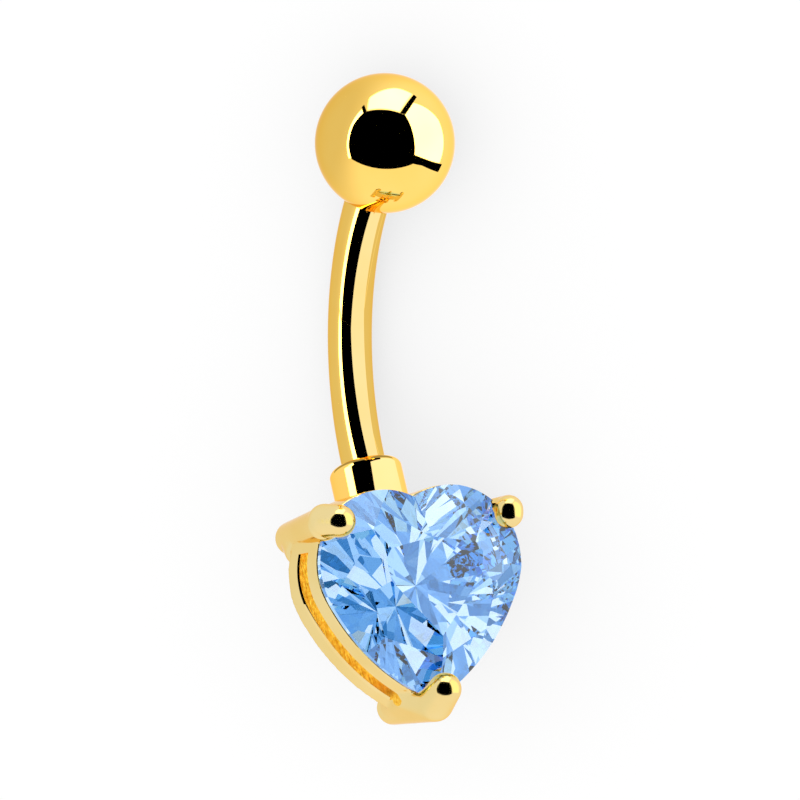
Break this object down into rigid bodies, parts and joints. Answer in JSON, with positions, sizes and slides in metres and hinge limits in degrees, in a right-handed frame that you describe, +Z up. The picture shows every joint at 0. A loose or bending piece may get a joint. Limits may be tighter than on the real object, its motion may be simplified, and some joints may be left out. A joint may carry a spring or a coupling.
{
  "type": "navel ring",
  "caption": "Gold curved-barbell navel ring with a screw-on ball and a pale blue heart-cut stone in a cast basket with claws.",
  "frame": {"origin": "on the table surface, under the middle of the jewel's box", "axes": "+Z up from the table, +Y from the heart towards the ball, +X across"},
  "size_m": [0.0087, 0.0232, 0.0084],
  "materials": {
    "polished_gold": "mirror-polished gold plating on steel",
    "cast_gold": "polished gold casting, left rough as cast inside the slots",
    "blue_stone": "clear pale blue faceted stone"
  },
  "bodies": {
    "jewel": {"curved_bar": "polished_gold", "heart_setting": "cast_gold", "heart_stone": "blue_stone"},
    "ball": {"ball": "polished_gold"}
  },
  "joints": [
    {"name": "ball_lift", "type": "slide", "parent": "jewel", "child": "ball", "axis": [0.4588, 0.8159, 0.3519], "range_m": [0, 0.0025]}
  ]
}
